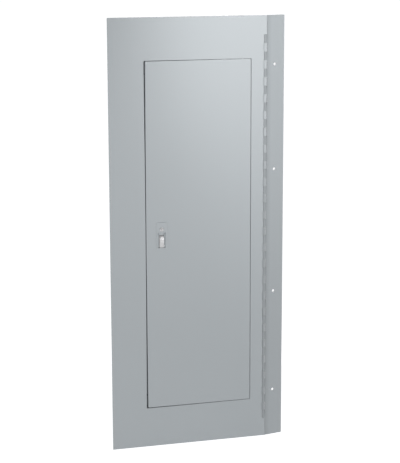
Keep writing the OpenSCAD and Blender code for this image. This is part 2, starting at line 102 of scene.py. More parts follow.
def shader(name):
    """A new material with its node tree, its Principled shader and its object coordinates."""
    mat = bpy.data.materials.new(name)
    mat.use_nodes = True
    tree = mat.node_tree
    bsdf = tree.nodes["Principled BSDF"]
    coords = tree.nodes.new("ShaderNodeTexCoord")
    return mat, tree, bsdf, coords.outputs["Object"]


def noise(tree, vector, scale, stretch=(1, 1, 1), detail=3.0):
    """The value of a noise texture, stretched along the axes."""
    mapping = tree.nodes.new("ShaderNodeMapping")
    mapping.inputs["Scale"].default_value = stretch
    tree.links.new(vector, mapping.inputs["Vector"])
    tex = tree.nodes.new("ShaderNodeTexNoise")
    tex.inputs["Scale"].default_value = scale
    tex.inputs["Detail"].default_value = detail
    tree.links.new(mapping.outputs["Vector"], tex.inputs["Vector"])
    return tex.outputs["Fac"]


def spread(tree, value, low, high):
    """Maps the middle of a noise value onto low to high."""
    node = tree.nodes.new("ShaderNodeMapRange")
    node.clamp = False
    node.inputs["From Min"].default_value = 0.25
    node.inputs["From Max"].default_value = 0.75
    node.inputs["To Min"].default_value = low
    node.inputs["To Max"].default_value = high
    tree.links.new(value, node.inputs["Value"])
    return node.outputs["Result"]


def blend_colours(tree, factor, first, second):
    """A colour between two others."""
    mix = tree.nodes.new("ShaderNodeMix")
    mix.data_type = "RGBA"
    mix.inputs["A"].default_value = (*first, 1)
    mix.inputs["B"].default_value = (*second, 1)
    tree.links.new(factor, mix.inputs["Factor"])
    return mix.outputs["Result"]


def bump(tree, bsdf, height, distance, strength=1.0):
    """Feeds a height into the shader's normal."""
    node = tree.nodes.new("ShaderNodeBump")
    node.inputs["Strength"].default_value = strength
    node.inputs["Distance"].default_value = distance
    tree.links.new(height, node.inputs["Height"])
    tree.links.new(node.outputs["Normal"], bsdf.inputs["Normal"])


def tinted(colour, factor):
    """A colour made lighter or darker by a factor."""
    return tuple(min(1.0, c * factor) for c in colour)


def enamel(name, colour, rough):
    """Baked enamel: an even colour, faint cloudiness and a fine orange peel."""
    mat, tree, bsdf, at = shader(name)
    cloud = noise(tree, at, 3.5, detail=1.0)
    tint = blend_colours(tree, cloud, tinted(colour, 0.985), tinted(colour, 1.015))
    tree.links.new(tint, bsdf.inputs["Base Color"])
    bsdf.inputs["Roughness"].default_value = rough
    bump(tree, bsdf, noise(tree, at, 420.0, detail=1.0), 0.00004, 0.35)
    bsdf.inputs["Specular IOR Level"].default_value = 0.5
    return mat


def paint_hinge_shade(mat, axis, start, reach, depth):
    """Paints shade into an enamel: darkens it by a share, depth, at start; the painted shade fades to nothing over
    reach along an axis.
    """
    tree = mat.node_tree
    bsdf = tree.nodes["Principled BSDF"]
    clean = bsdf.inputs["Base Color"].links[0].from_socket
    coords = tree.nodes.new("ShaderNodeTexCoord")
    split = tree.nodes.new("ShaderNodeSeparateXYZ")
    tree.links.new(coords.outputs["Object"], split.inputs["Vector"])
    fade = tree.nodes.new("ShaderNodeMapRange")
    fade.inputs["From Min"].default_value = start
    fade.inputs["From Max"].default_value = start + reach
    fade.inputs["To Min"].default_value = depth
    fade.inputs["To Max"].default_value = 0.0
    tree.links.new(split.outputs[axis], fade.inputs["Value"])
    # painted shade: multiplies the colour towards black by the fade's share
    mix = tree.nodes.new("ShaderNodeMix")
    mix.data_type = "RGBA"
    mix.blend_type = "MULTIPLY"
    mix.inputs["B"].default_value = (0, 0, 0, 1)
    tree.links.new(fade.outputs["Result"], mix.inputs["Factor"])
    tree.links.new(clean, mix.inputs["A"])
    tree.links.new(mix.outputs["Result"], bsdf.inputs["Base Color"])


def plated(name, colour, rough, grain_stretch, grain=0.06):
    """Plated or polished metal with a drawn grain and slight staining."""
    mat, tree, bsdf, at = shader(name)
    lines = noise(tree, at, 60.0, grain_stretch, detail=4.0)
    stain = noise(tree, at, 35.0, detail=2.0)
    tint = blend_colours(tree, stain, tinted(colour, 0.9), tinted(colour, 1.06))
    tree.links.new(tint, bsdf.inputs["Base Color"])
    tree.links.new(spread(tree, lines, rough - grain, rough + grain), bsdf.inputs["Roughness"])
    bump(tree, bsdf, lines, 0.00002, 0.3)
    bsdf.inputs["Metallic"].default_value = 1.0
    return mat


def plastic(name, colour, rough, grit=300.0):
    """Moulded plastic, rubber or card, with a fine texture."""
    mat, tree, bsdf, at = shader(name)
    tint = blend_colours(tree, noise(tree, at, 40.0), tinted(colour, 0.94), tinted(colour, 1.06))
    tree.links.new(tint, bsdf.inputs["Base Color"])
    tree.links.new(spread(tree, noise(tree, at, 90.0), rough - 0.05, rough + 0.05),
                   bsdf.inputs["Roughness"])
    bump(tree, bsdf, noise(tree, at, grit), 0.00005, 0.4)
    return mat


def ruled_card(name, colour, ink, row_pitch, line):
    """Card stock with plain ruled rows for a circuit list, and no lettering."""
    mat, tree, bsdf, at = shader(name)
    split = tree.nodes.new("ShaderNodeSeparateXYZ")
    tree.links.new(at, split.inputs["Vector"])
    rows = tree.nodes.new("ShaderNodeMath")
    rows.operation = "PINGPONG"
    rows.inputs[1].default_value = row_pitch / 2
    tree.links.new(split.outputs["Z"], rows.inputs[0])
    on_line = tree.nodes.new("ShaderNodeMath")
    on_line.operation = "LESS_THAN"
    on_line.inputs[1].default_value = line
    tree.links.new(rows.outputs["Value"], on_line.inputs[0])
    fibre = blend_colours(tree, noise(tree, at, 160.0), tinted(colour, 0.96), tinted(colour, 1.03))
    mix = tree.nodes.new("ShaderNodeMix")
    mix.data_type = "RGBA"
    mix.inputs["B"].default_value = (*ink, 1)
    tree.links.new(fibre, mix.inputs["A"])
    tree.links.new(on_line.outputs["Value"], mix.inputs["Factor"])
    tree.links.new(mix.outputs["Result"], bsdf.inputs["Base Color"])
    bsdf.inputs["Roughness"].default_value = 0.85
    bump(tree, bsdf, noise(tree, at, 500.0), 0.00003, 0.4)
    return mat


def clear_sheet(name):
    """Clear vinyl with faint waviness."""
    mat, tree, bsdf, at = shader(name)
    tint = blend_colours(tree, noise(tree, at, 12.0), (0.86, 0.9, 0.91), (0.93, 0.95, 0.95))
    tree.links.new(tint, bsdf.inputs["Base Color"])
    tree.links.new(spread(tree, noise(tree, at, 25.0), 0.06, 0.14), bsdf.inputs["Roughness"])
    bump(tree, bsdf, noise(tree, at, 18.0, detail=1.0), 0.0003, 0.4)
    bsdf.inputs["Transmission Weight"].default_value = 0.9
    bsdf.inputs["IOR"].default_value = 1.45
    bsdf.inputs["Alpha"].default_value = 0.45
    return mat


PAINT = (0.385, 0.412, 0.428)
MATERIALS = {
    "painted_sheet": enamel("grey_enamel", PAINT, 0.27),
    # painted shade: the frame parts behind the trim use the same grey made 5% darker
    "painted_frame": enamel("grey_enamel_inner_painted_shade", tinted(PAINT, 0.95), 0.36),
    "painted_zinc": enamel("grey_satin_casting", PAINT, 0.34),
    "zinc_steel": plated("zinc_plate", (0.6, 0.6, 0.57), 0.34, (1, 1, 8)),
    "plated_lock": plated("satin_chrome", (0.49, 0.49, 0.495), 0.3, (6, 6, 6), 0.03),
    "stainless": plated("brushed_stainless", (0.45, 0.45, 0.455), 0.3, (12, 1, 0.4)),
    "bumper_rubber": plastic("black_rubber", (0.03, 0.03, 0.03), 0.8),
    "holder_plastic": plastic("off_white_plastic", (0.7, 0.69, 0.66), 0.5),
    "card": ruled_card("ruled_card", (0.82, 0.8, 0.72), (0.35, 0.36, 0.4), 9 * MM, 0.25 * MM),
    "clear_plastic": clear_sheet("clear_vinyl"),
}
# Painted shade: the strip's enamel is 7% darker than the trim's because the folded strip faces away from the
# light, and it darkens further over the 16 mm next to the hinge seam.
STRIP_SHADED_ENAMEL = enamel("grey_enamel_strip_painted_shade", tinted(PAINT, 0.93), 0.3)
paint_hinge_shade(STRIP_SHADED_ENAMEL, "X", SEAM_X, 16 * MM, 0.17)
# Painted shade: the trim's knuckles get darker towards the bottom of the hinge, by up to a fifth below 0.06 m,
# fading out by 0.40 m.
KNUCKLE_SHADED_ENAMEL = enamel("grey_enamel_knuckles_painted_shade", PAINT, 0.3)
paint_hinge_shade(KNUCKLE_SHADED_ENAMEL, "Z", 0.06, 0.34, 0.2)
SLOT_OF = {s["node"]: s["material_slot"] for s in frame["record"]["subparts"]}


# ---------------------------------------------------------------- mesh helpers

def even_normals(obj):
    """Keeps large flat faces flat where they meet soft edges."""
    weighted = obj.modifiers.new("normals", "WEIGHTED_NORMAL")
    weighted.keep_sharp = True
    weighted.weight = 100


def as_piece(name, mesh, body, slot_name, *nodes):
    """Puts a finished mesh into the scene as a piece that rides on a body and replaces nodes."""
    obj = bpy.data.objects.new(name, mesh)
    bpy.context.scene.collection.objects.link(obj)
    mesh.materials.clear()
    mesh.materials.append(MATERIALS[slot_name])
    mesh.shade_smooth()
    mesh.set_sharp_from_angle(angle=SHARP_ANGLE)
    even_normals(obj)
    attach(obj, body)
    if nodes:
        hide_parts(*nodes)
    return obj


def mesh_of(name, bm):
    """Finishes a bmesh: merged points and outward faces."""
    bmesh.ops.remove_doubles(bm, verts=bm.verts, dist=1e-6)
    bmesh.ops.recalc_face_normals(bm, faces=bm.faces)
    mesh = bpy.data.meshes.new(name)
    bm.to_mesh(mesh)
    bm.free()
    return mesh


def plate_mesh(name, outlines, depth, thick, edge):
    """A flat plate with softened edges, from closed outlines in x and z; inner ones are holes."""
    curve = bpy.data.curves.new(name, "CURVE")
    curve.dimensions = "2D"
    curve.fill_mode = "BOTH"
    curve.extrude = thick / 2 - edge
    curve.bevel_depth = edge
    curve.bevel_resolution = 2
    curve.offset = -edge
    for outline in outlines:
        spline = curve.splines.new("POLY")
        spline.points.add(len(outline) - 1)
        for point, (x, z) in zip(spline.points, outline):
            point.co = (x, z, 0, 1)
        spline.use_cyclic_u = True
    holder = bpy.data.objects.new(name, curve)
    bpy.context.scene.collection.objects.link(holder)
    bpy.context.view_layer.update()
    mesh = bpy.data.meshes.new_from_object(holder)
    bpy.data.objects.remove(holder)
    bpy.data.curves.remove(curve)
    upright = Matrix(((1, 0, 0, 0), (0, 0, -1, depth + thick / 2), (0, 1, 0, 0), (0, 0, 0, 1)))
    mesh.transform(upright)
    bm = bmesh.new()
    bm.from_mesh(mesh)
    bpy.data.meshes.remove(mesh)
    bmesh.ops.dissolve_degenerate(bm, edges=bm.edges, dist=1e-7)
    return mesh_of(name, bm)


def rounded_rect(x0, z0, x1, z1, r, steps=6):
    """A rectangle with round corners, anticlockwise from its lower left."""
    points = []
    corners = ((x0 + r, z0 + r, 180), (x1 - r, z0 + r, 270), (x1 - r, z1 - r, 0), (x0 + r, z1 - r, 90))
    for cx, cz, start in corners:
        for i in range(steps + 1):
            a = math.radians(start + 90 * i / steps)
            points.append((cx + r * math.cos(a), cz + r * math.sin(a)))
    return points


def circle(cx, cz, r, steps=40):
    """A circle in x and z, anticlockwise from its right."""
    turn = 2 * math.pi / steps
    return [(cx + r * math.cos(i * turn), cz + r * math.sin(i * turn)) for i in range(steps)]


def prism(bm, profile, z0, z1):
    """Adds a closed solid: a profile in x and y, run from z0 to z1."""
    low = [bm.verts.new((x, y, z0)) for x, y in profile]
    high = [bm.verts.new((x, y, z1)) for x, y in profile]
    bm.faces.new(low[::-1])
    bm.faces.new(high)
    n = len(profile)
    for i in range(n):
        j = (i + 1) % n
        bm.faces.new((low[i], low[j], high[j], high[i]))


def loft(bm, rings, close_first=True, close_last=True):
    """Adds a skin over rings that have the same number of points."""
    loops = [[bm.verts.new(p) for p in ring] for ring in rings]
    n = len(loops[0])
    for a, b in zip(loops, loops[1:]):
        for i in range(n):
            j = (i + 1) % n
            bm.faces.new((a[i], a[j], b[j], b[i]))
    if close_first:
        bm.faces.new(loops[0][::-1])
    if close_last:
        bm.faces.new(loops[-1])


def soft_edges(obj, width, angle=38):
    """Welds and softens an object's hard edges with modifiers."""
    weld = obj.modifiers.new("weld", "WELD")
    weld.merge_threshold = 2e-6
    bevel = obj.modifiers.new("edge", "BEVEL")
    bevel.width = width
    bevel.segments = 2
    bevel.limit_method = "ANGLE"
    bevel.angle_limit = math.radians(angle)
    bevel.harden_normals = True
    bevel.use_clamp_overlap = True


def cut_box(obj, low, high):
    """Cuts a rectangular hole in a piece's mesh, between two corners."""
    bm = bmesh.new()
    corners = [(low[0], low[2]), (high[0], low[2]), (high[0], high[2]), (low[0], high[2])]
    loft(bm, [[(x, y, z) for x, z in corners] for y in (low[1], high[1])])
    tool = bpy.data.objects.new("cutter", mesh_of("cutter", bm))
    bpy.context.scene.collection.objects.link(tool)
    obj.modifiers.clear()
    cut = obj.modifiers.new("cut", "BOOLEAN")
    cut.object = tool
    cut.solver = "EXACT"
    cut.use_self = True
    bpy.context.view_layer.update()
    graph = bpy.context.evaluated_depsgraph_get()
    mesh = bpy.data.meshes.new_from_object(obj.evaluated_get(graph))
    bm = bmesh.new()
    bm.from_mesh(mesh)
    bmesh.ops.dissolve_degenerate(bm, edges=bm.edges, dist=0.002 * MM)
    bm.to_mesh(mesh)
    bm.free()
    obj.modifiers.clear()
    old = obj.data
    obj.data = mesh
    mesh.set_sharp_from_angle(angle=SHARP_ANGLE)
    even_normals(obj)
    bpy.data.meshes.remove(old)
    bpy.data.objects.remove(tool)


# ---------------------------------------------------------------- trim and strip

def folded(x, y):
    """A point of the flat strip, turned back about the hinge pin."""
    dx, dy = x - PIN.x, y - PIN.y
    c, s = math.cos(FOLD), math.sin(FOLD)
    return PIN.x + dx * c - dy * s, PIN.y + dx * s + dy * c


def knuckle_count():
    """How many knuckles fit the pin, at one pitch each."""
    return round((PIN_HI.z - PIN_LO.z) / PITCH)


def knuckle_z(i):
    """The lower end of knuckle i, counted from the bottom."""
    return PIN.z + (i - knuckle_count() / 2) * PITCH


def knuckle_profile(side):
    """A rolled knuckle, flush with the sheet's front; side is -1 for the trim and 1 for the strip.

    The curl leaves the sheet, turns round the pin and stops short of the sheet's back face.
    """
    flat = math.asin((PIN.y - FRONT) / BARREL_R)
    start, stop = -flat, math.pi - math.radians(14)
    steps = 26
    points = [(-(BARREL_R + 1.4 * MM), FRONT - PIN.y), (BARREL_R * math.cos(flat), FRONT - PIN.y)]
    for i in range(1, steps + 1):
        a = start + (stop - start) * i / steps
        points.append((BARREL_R * math.cos(a), BARREL_R * math.sin(a)))
    points.append((-BARREL_R + 0.75 * MM, SHEET + FRONT - PIN.y + 0.12 * MM))
    points.append((-(BARREL_R + 1.4 * MM), SHEET + FRONT - PIN.y))
    return [(PIN.x - side * x, PIN.y + y) for x, y in points]


def knuckles(name, side, first, body):
    """All knuckles that belong to the trim or to the strip, as separate closed curls."""
    bm = bmesh.new()
    profile = knuckle_profile(side)
    if side > 0:
        profile = [folded(x, y) for x, y in profile]
    for i in range(first, knuckle_count(), 2):
        prism(bm, profile, knuckle_z(i) + KNUCKLE_GAP, knuckle_z(i + 1) - KNUCKLE_GAP)
    piece = as_piece(name, mesh_of(name, bm), body, "painted_sheet")
    soft_edges(piece, 0.12 * MM, angle=50)
    piece.modifiers.move(0, len(piece.modifiers) - 1)
    return piece


def comb(x_out, x_tab, x_notch, tab_first):
    """The hinge edge's outline from bottom to top: tabs at every other knuckle, notches between."""
    points = [(x_out, BOTTOM), (x_out, knuckle_z(0) - KNUCKLE_GAP)]
    for i in range(knuckle_count()):
        is_tab = (i % 2 == 0) == tab_first
        x = x_tab if is_tab else x_notch
        inset = KNUCKLE_GAP if is_tab else -KNUCKLE_GAP
        points += [(x, knuckle_z(i) + inset), (x, knuckle_z(i + 1) - inset)]
    points += [(x_out, knuckle_z(knuckle_count()) + KNUCKLE_GAP), (x_out, TOP)]
    return points


def height_share(z):
    """Where a height lies on the door: -1 at its lower edge and 1 at its upper edge."""
    return (z - (DOOR_LO.z + DOOR_HI.z) / 2) / ((DOOR_HI.z - DOOR_LO.z) / 2)


def opening_outline():
    """The opening's nominal outline, with extra points up its latch side."""
    points = rounded_rect(OPEN_L, OPEN_B, OPEN_R, OPEN_T, DOOR_R + 1 * MM)
    low, high = points[0][1], points[-1][1]
    steps = 16
    return points + [(OPEN_L, high + (low - high) * i / steps) for i in range(1, steps)]


def opening_point(x, z):
    """Moves a point of the nominal opening, for a bowed gap at the latch and tapered ones at the ends."""
    along = (x - OPEN_L) / (OPEN_R - OPEN_L)
    latch_side = max(0.0, 1 - along * 6)
    dx = latch_side * (0.5 - 1.7 * height_share(z) ** 2) * MM
    if along > 0.9:
        dx = -0.35 * MM
    dz = 0.0
    if min(z - OPEN_B, OPEN_T - z) < 8 * MM:
        dz = (0.4 + 0.8 * along) * MM
    if z > (OPEN_B + OPEN_T) / 2:
        dz = -dz
    return x + dx, z + dz


def trim_sheet():
    """The flat trim with its opening, its notched hinge edge and its own knuckles."""
    edge = comb(SEAM_X - SEAM_HALF, PIN.x - BARREL_R, NOTCH_X, tab_first=False)
    outer = [(TRIM_LO.x, BOTTOM)] + edge + [(TRIM_LO.x, TOP)]
    hole = [opening_point(x, z) for x, z in opening_outline()]
    mesh = plate_mesh("trim_sheet", [outer, hole], FRONT, SHEET, 0.25 * MM)
    as_piece("trim_sheet", mesh, "trim", "painted_sheet", "trim_panel")
    rolled = knuckles("trim_knuckles", -1, 1, "trim")
    # the trim's knuckles take the enamel with painted shade towards the bottom
    rolled.data.materials[0] = KNUCKLE_SHADED_ENAMEL


def strip_sheet():
    """The mounting strip with its four holes, folded back about the pin."""
    x_tab = PIN.x + BARREL_R
    edge = comb(SEAM_X + SEAM_HALF, x_tab, SEAM_X + SEAM_HALF, tab_first=True)
    outer = edge + [(SEAM_X + SEAM_HALF + STRIP_W, TOP), (SEAM_X + SEAM_HALF + STRIP_W, BOTTOM)]
    holes = [circle(HOLE_X, PIN.z + side * up, HOLE_R) for up in HOLE_UP for side in (-1, 1)]
    mesh = plate_mesh("strip_sheet", [outer] + holes, FRONT, SHEET, 0.25 * MM)
    turn = Matrix.Translation(PIN) @ Matrix.Rotation(FOLD, 4, "Z") @ Matrix.Translation(-PIN)
    mesh.transform(turn)
    sheet = as_piece("strip_sheet", mesh, "strip", "painted_sheet", "mounting_strip")
    # the strip and its knuckles take the darker enamel with painted shade
    sheet.data.materials[0] = STRIP_SHADED_ENAMEL
    rolled = knuckles("strip_knuckles", 1, 0, "strip")
    rolled.data.materials[0] = STRIP_SHADED_ENAMEL


# ---------------------------------------------------------------- door

def door_bow(x, z):
    """How far the door's skin lies behind the trim's face: its latch side corners are pulled in."""
    across = max(0.0, 1 - (x - DOOR_LO.x) / (DOOR_HI.x - DOOR_LO.x))
    return 0.9 * MM * across ** 2 * height_share(z) ** 2


def door_edge(x, z):
    """Moves the door's latch side edge a little: in at both ends, out at its middle."""
    latch_side = max(0.0, 1 - (x - DOOR_LO.x) / (40 * MM))
    return x + latch_side * (1.4 * height_share(z) ** 2 - 0.4) * MM


def door_ring(inset, depth):
    """One loop round the door at an inset from its outline, with points that match the face grid."""
    x0, x1 = DOOR_LO.x + inset, DOOR_HI.x - inset
    z0, z1 = DOOR_LO.z + inset, DOOR_HI.z - inset
    r = max(DOOR_R - inset, 0.0)
    points = []
    sides = (
        ((x0 + r, z0), (x1 - r, z0), DOOR_COLUMNS, 270, (x1 - r, z0 + r)),
        ((x1, z0 + r), (x1, z1 - r), DOOR_ROWS, 0, (x1 - r, z1 - r)),
        ((x1 - r, z1), (x0 + r, z1), DOOR_COLUMNS, 90, (x0 + r, z1 - r)),
        ((x0, z1 - r), (x0, z0 + r), DOOR_ROWS, 180, (x0 + r, z0 + r)),
    )
    for (ax, az), (bx, bz), count, start, (cx, cz) in sides:
        for i in range(count):
            t = i / count
            points.append((ax + (bx - ax) * t, az + (bz - az) * t))
        for i in range(CORNER_STEPS):
            a = math.radians(start + 90 * i / CORNER_STEPS)
            points.append((cx + r * math.cos(a), cz + r * math.sin(a)))
    return [(door_edge(x, z), depth + door_bow(x, z), z) for x, z in points]


def door_pan():
    """The door: a pan with bent edges, return flanges and the latch's cut-out."""
    back = DOOR_HI.y
    inner = FRONT + DOOR_SHEET
    edge = 0.3 * MM
    fillet = 0.6 * MM
    section = [(DOOR_R, FRONT)]
    for i in range(CORNER_STEPS + 1):
        a = math.radians(90 * i / CORNER_STEPS)
        section.append((DOOR_BEND * (1 - math.sin(a)), FRONT + DOOR_BEND * (1 - math.cos(a))))
    section += [(0, back - edge), (edge, back), (DOOR_SHEET - edge, back), (DOOR_SHEET, back - edge),
                (DOOR_SHEET, inner + fillet), (DOOR_SHEET + fillet, inner)]
    bm = bmesh.new()
    loft(bm, [door_ring(inset, depth) for inset, depth in section], close_first=False, close_last=False)
    face_grid(bm, FRONT, DOOR_R, flip=False)
    face_grid(bm, inner, DOOR_SHEET + fillet, flip=True)
    mesh = mesh_of("door_pan", bm)
    door = as_piece("door_pan", mesh, "door", "painted_sheet", "door_panel")
    cx, cz = latch_centre()
    half_w, half_h = LATCH_HALF_W + 0.2 * MM, LATCH_HALF_H + 0.2 * MM
    cut_box(door, (cx - half_w, FRONT - 5 * MM, cz - half_h), (cx + half_w, FRONT + 6 * MM, cz + half_h))


def stations(low, high, count):
    """Evenly spaced positions, with both ends."""
    return [low + (high - low) * i / count for i in range(count + 1)]


def face_grid(bm, depth, inset, flip):
    """The door's flat face as a grid, so that it can bow; it shares its rim with a ring."""
    x0, x1 = DOOR_LO.x + inset, DOOR_HI.x - inset
    z0, z1 = DOOR_LO.z + inset, DOOR_HI.z - inset
    r = max(DOOR_R - inset, 0.0)
    xs = stations(x0 + r, x1 - r, DOOR_COLUMNS)
    zs = stations(z0 + r, z1 - r, DOOR_ROWS)
    grid = [[bm.verts.new((door_edge(x, z), depth + door_bow(x, z), z)) for x in xs] for z in zs]
    for row_a, row_b in zip(grid, grid[1:]):
        for i in range(DOOR_COLUMNS):
            quad = (row_a[i], row_a[i + 1], row_b[i + 1], row_b[i])
            bm.faces.new(quad[::-1] if flip else quad)
    if r > 0:
        rim_strips(bm, depth, x0, x1, z0, z1, r, xs, zs)


def rim_strips(bm, depth, x0, x1, z0, z1, r, xs, zs):
    """Fills between the grid and a ring that still has round corners."""
    def vert(x, z):
        return bm.verts.new((door_edge(x, z), depth + door_bow(x, z), z))

    for z_grid, z_rim in ((z0 + r, z0), (z1 - r, z1)):
        for a, b in zip(xs, xs[1:]):
            bm.faces.new((vert(a, z_grid), vert(b, z_grid), vert(b, z_rim), vert(a, z_rim)))
    for x_grid, x_rim in ((x0 + r, x0), (x1 - r, x1)):
        for a, b in zip(zs, zs[1:]):
            bm.faces.new((vert(x_grid, a), vert(x_grid, b), vert(x_rim, b), vert(x_rim, a)))
    for cx, cz, start in ((x0 + r, z0 + r, 180), (x1 - r, z0 + r, 270),
                          (x1 - r, z1 - r, 0), (x0 + r, z1 - r, 90)):
        for i in range(CORNER_STEPS):
            a, b = (math.radians(start + 90 * k / CORNER_STEPS) for k in (i, i + 1))
            bm.faces.new((vert(cx, cz), vert(cx + r * math.cos(a), cz + r * math.sin(a)),
                          vert(cx + r * math.cos(b), cz + r * math.sin(b))))


# ---------------------------------------------------------------- latch

def latch_centre():
    """The middle of the latch's front plate, in x and z."""
    return (HOUSING_LO.x + HOUSING_HI.x) / 2, (HOUSING_LO.z + HOUSING_HI.z) / 2


def latch_housing():
    """The casting: a softened front plate, the finger cup behind it and the lock's boss."""
    cx, cz = latch_centre()
    cup_low, cup_high = cz - 36.5 * MM, cz + 11.5 * MM
    outer = rounded_rect(HOUSING_LO.x, HOUSING_LO.z, HOUSING_HI.x, HOUSING_HI.z, 3 * MM)
    body = rounded_rect(cx - LATCH_HALF_W, cz - LATCH_HALF_H, cx + LATCH_HALF_W, cz + LATCH_HALF_H,
                        1.5 * MM)
    cup = rounded_rect(cx - CUP_HALF_W, cup_low, cx + CUP_HALF_W, cup_high, 3 * MM)
    boss_hole = circle(cx, LOCK_Z, LOCK_BORE_R)
    bm = bmesh.new()
    for outline, front, thick in ((outer, HOUSING_LO.y, FRONT - HOUSING_LO.y),
                                  (body, FRONT - 0.44 * MM, 2.6 * MM)):
        plate = plate_mesh("latch_plate", [outline, cup, boss_hole], front, thick, 0.3 * MM)
        bm.from_mesh(plate)
        bpy.data.meshes.remove(plate)
    cup_shell(bm, cx, cup_low, cup_high)
    reach = CUP_HALF_W + 0.4 * MM
    for side in (-1, 1):
        cheek(bm, cx, side, reach, cup_low - 0.4 * MM, cup_high - 6 * MM)
    scoop(bm, cx, reach, cup_high + 0.4 * MM)
    lathe_tube(bm, Vector((cx, 0, LOCK_Z)), LOCK_BORE_R, 9.5 * MM, FRONT, HOUSING_HI.y)
    casting = as_piece("latch_casting", mesh_of("latch_casting", bm), "door", "painted_zinc",
                       "latch_housing")
    half_w, half_h = 2.7 * MM, 4.6 * MM
    low = (cx - half_w, FRONT + 6.5 * MM, PULL_PIVOT.z - half_h)
    high = (cx + half_w, FRONT + 12 * MM, PULL_PIVOT.z + half_h)
    cut_box(casting, low, high)


def cup_shell(bm, cx, low, high):
    """The finger cup: walls with draft and a rounded floor."""
    wall = 1.4 * MM
    rim = FRONT + 0.4 * MM
    floor = FRONT + CUP_DEPTH

    def ring(grow, depth, r):
        half = CUP_HALF_W + grow
        outline = rounded_rect(cx - half, low - grow, cx + half, high + grow, r)
        return [(x, depth, z) for x, z in outline]

    inner_rim = ring(0, rim, 3 * MM)
    inner_low = ring(-0.5 * MM, floor - 1.6 * MM, 2.8 * MM)
    inner_fillet = ring(-1.0 * MM, floor - 0.5 * MM, 2.6 * MM)
    inner_floor = ring(-2.2 * MM, floor, 2.2 * MM)
    outer_floor = ring(wall - 1.0 * MM, floor + wall, 3 * MM)
    outer_rim = ring(wall, rim, 3.4 * MM)
    loft(bm, [inner_floor, inner_fillet, inner_low, inner_rim, outer_rim, outer_floor])


def scoop(bm, cx, reach, high):
    """The cup's upper end, hollowed so that a fingertip slides in behind the pull."""
    floor = FRONT + CUP_DEPTH
    profile = [(FRONT + 0.5 * MM, high), (floor, high), (floor, high - 10 * MM)]
    steps = 8
    for i in range(steps + 1):
        a = math.radians(90 * i / steps)
        profile.append((FRONT + (0.7 + 3.6 * math.cos(a)) * MM, high - (10 - 9.4 * math.sin(a)) * MM))
    loft(bm, [[(x, y, z) for y, z in profile] for x in (cx - reach, cx + reach)])


def cheek(bm, cx, side, reach, low, high):
    """A shelf in the cup beside the pull, with a rolled inner edge and a sloping top."""
    near = 8.1 * MM
    roll = 0.8 * MM
    nick = 0.23 * MM
    front, back = FRONT + 1.5 * MM, FRONT + 8 * MM
    profile = [(reach, front), (near + roll, front), (near + nick, front + nick),
               (near, front + roll), (near, back), (reach, back)]
    rings = []
    for z, drop in ((low, 0), (high - 4 * MM, 0), (high - 1.2 * MM, 0.5 * MM), (high, 1.8 * MM)):
        rings.append([(cx + side * x, min(y + drop, back), z) for x, y in profile])
    loft(bm, rings)


def lathe_tube(bm, centre, inner, outer, y0, y1):
    """Adds a short tube about a y axis."""
    rings = []
    profile = ((inner, y0), (outer, y0), (outer, y1 - 0.5 * MM), (outer - 0.5 * MM, y1), (inner, y1))
    for radius, depth in profile:
        rings.append([(centre.x + x, depth, centre.z + z) for x, z in circle(0, 0, radius)])
    rings.append(rings[0])
    loft(bm, rings, close_first=False, close_last=False)


def lock_body():
    """The lock cylinder: chamfered face ring, bored for the plug, threaded behind."""
    centre = (LOCK_LO + LOCK_HI) / 2
    r = (LOCK_HI.x - LOCK_LO.x) / 2
    bore = PLUG_BORE_R
    front, back = LOCK_LO.y, LOCK_HI.y
    profile = [(front + 0.6 * MM, bore), (front + 0.15 * MM, bore + 0.35 * MM), (front, bore + 0.6 * MM),
               (front, r - 0.7 * MM), (front + 0.2 * MM, r - 0.2 * MM), (front + 0.6 * MM, r)]
    pitch = 0.8 * MM
    depth = front + 3.5 * MM
    profile.append((depth, r))
    while depth + pitch < back - 0.5 * MM:
        for share, cut in ((0.15, 0.0), (0.5, 0.35 * MM), (0.85, 0.0)):
            profile.append((depth + pitch * share, r - cut))
        depth += pitch
    profile += [(back, r - 0.3 * MM), (back, bore)]
    bm = bmesh.new()
    rings = []
    for y, radius in profile:
        rings.append([(centre.x + x, y, centre.z + z) for x, z in circle(0, 0, radius)])
    rings.append(rings[0])
    loft(bm, rings, close_first=False, close_last=False)
    as_piece("lock_barrel", mesh_of("lock_barrel", bm), "door", "plated_lock", "lock_cylinder")


def pull_depth(t):
    """Depth of the pull's face behind the door's face, from its lower end (0) to its top (1)."""
    bow = 18 * MM * max(0.0, t - 0.45) ** 2
    dish = 0.28 * MM * math.exp(-((t - 0.5) / 0.07) ** 2)
    heel = 0.4 * MM * max(0.0, (0.1 - t) / 0.1) ** 2
    return 0.6 * MM + bow + dish + heel


